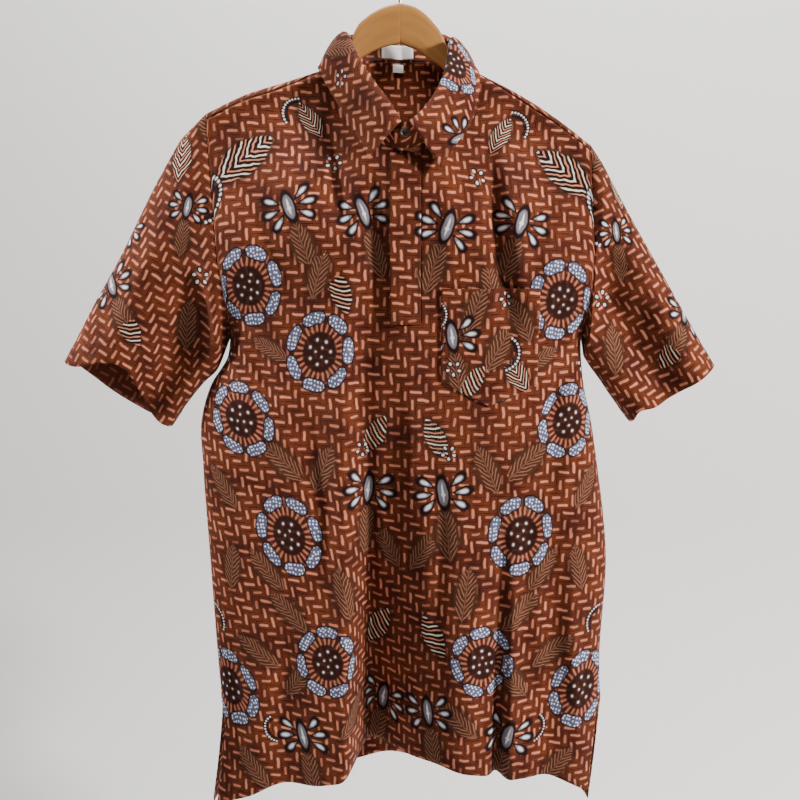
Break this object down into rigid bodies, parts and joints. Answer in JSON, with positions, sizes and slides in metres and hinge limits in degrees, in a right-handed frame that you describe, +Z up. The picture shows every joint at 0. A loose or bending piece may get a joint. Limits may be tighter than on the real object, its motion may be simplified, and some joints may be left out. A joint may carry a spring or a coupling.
{
  "type": "batik shirt on a wooden clothes hanger",
  "caption": "Short-sleeved batik pullover shirt with a collar, half placket, chest pocket and side vents, hung on a contoured wooden hanger.",
  "frame": {"origin": "inside top of the hanger's hook, where a rail holds it", "axes": "+Z up, the shirt's front faces -Y, +X towards the wearer's left side, which has the pocket"},
  "size_m": [0.746, 0.1813, 1.0169],
  "materials": {
    "batik": "crisp printed batik cotton, mostly matt",
    "button": "dark brown four-hole button",
    "label": "blank woven satin label",
    "tape": "blank white woven tape",
    "wood": "clear-lacquered honey-coloured wood",
    "hook": "plated steel wire"
  },
  "bodies": {
    "root": {"front": "batik", "back": "batik", "sleeve_left": "batik", "sleeve_right": "batik", "collar_stand": "batik", "collar_fall": "batik", "placket_over": "batik", "placket_under": "batik", "pocket": "batik", "button_top": "button", "neck_label": "label", "size_tab": "tape", "hanger_arm_left": "wood", "hanger_arm_right": "wood", "hanger_hook": "hook"}
  },
  "joints": []
}
